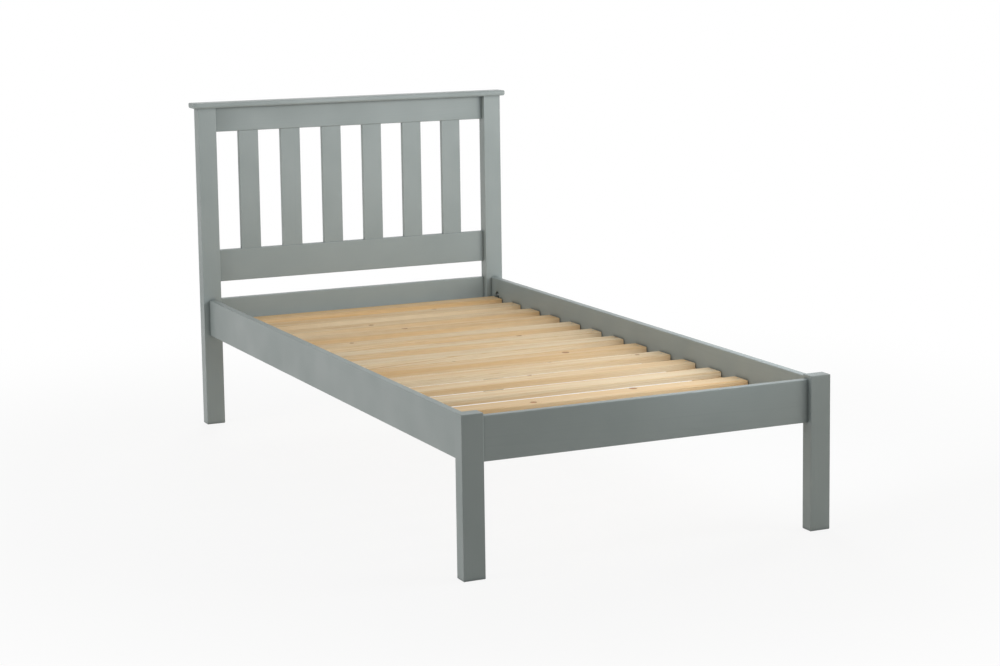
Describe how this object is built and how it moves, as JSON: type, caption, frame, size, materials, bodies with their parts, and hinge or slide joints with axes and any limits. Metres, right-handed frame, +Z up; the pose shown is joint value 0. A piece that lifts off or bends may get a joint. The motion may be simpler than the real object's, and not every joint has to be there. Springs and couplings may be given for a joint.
{
  "type": "single bed frame",
  "caption": "Single bed frame in painted wood, with a tall headboard of upright boards under a rounded cap, a low foot end, side rails and a slatted base.",
  "frame": {"origin": "on the floor, at the middle of the space that the bed takes up", "axes": "+X to the right seen from the foot, +Y from the foot to the head, +Z up"},
  "size_m": [1.02, 1.969, 0.975],
  "materials": {
    "painted_wood": "satin grey paint, brushed along the grain, on pine",
    "bare_pine": "planed, unfinished pine",
    "zinc_steel": "bright zinc-plated steel",
    "beech_dowel": "turned, unfinished beech"
  },
  "bodies": {
    "root": {"foot_post_left": "painted_wood", "foot_post_right": "painted_wood", "foot_rail": "painted_wood", "head_end_rail": "painted_wood", "head_post_left": "painted_wood", "head_post_right": "painted_wood", "headboard_board_1": "painted_wood", "headboard_board_2": "painted_wood", "headboard_board_3": "painted_wood", "headboard_board_4": "painted_wood", "headboard_board_5": "painted_wood", "headboard_board_6": "painted_wood", "headboard_cap": "painted_wood", "headboard_lower_rail": "painted_wood", "headboard_top_rail": "painted_wood", "side_rail_left": "painted_wood", "side_rail_right": "painted_wood", "bed_slat_01": "bare_pine", "bed_slat_02": "bare_pine", "bed_slat_03": "bare_pine", "bed_slat_04": "bare_pine", "bed_slat_05": "bare_pine", "bed_slat_06": "bare_pine", "bed_slat_07": "bare_pine", "bed_slat_08": "bare_pine", "bed_slat_09": "bare_pine", "bed_slat_10": "bare_pine", "bed_slat_11": "bare_pine", "bed_slat_12": "bare_pine", "bed_slat_13": "bare_pine", "bed_slat_14": "bare_pine", "side_batten_left": "bare_pine", "side_batten_right": "bare_pine", "batten_screws": "zinc_steel", "bed_bolts": "zinc_steel", "bolt_nuts": "zinc_steel", "half_moon_washers": "zinc_steel", "slat_screws": "zinc_steel", "cap_dowels": "beech_dowel", "rail_dowels": "beech_dowel"}
  },
  "joints": []
}
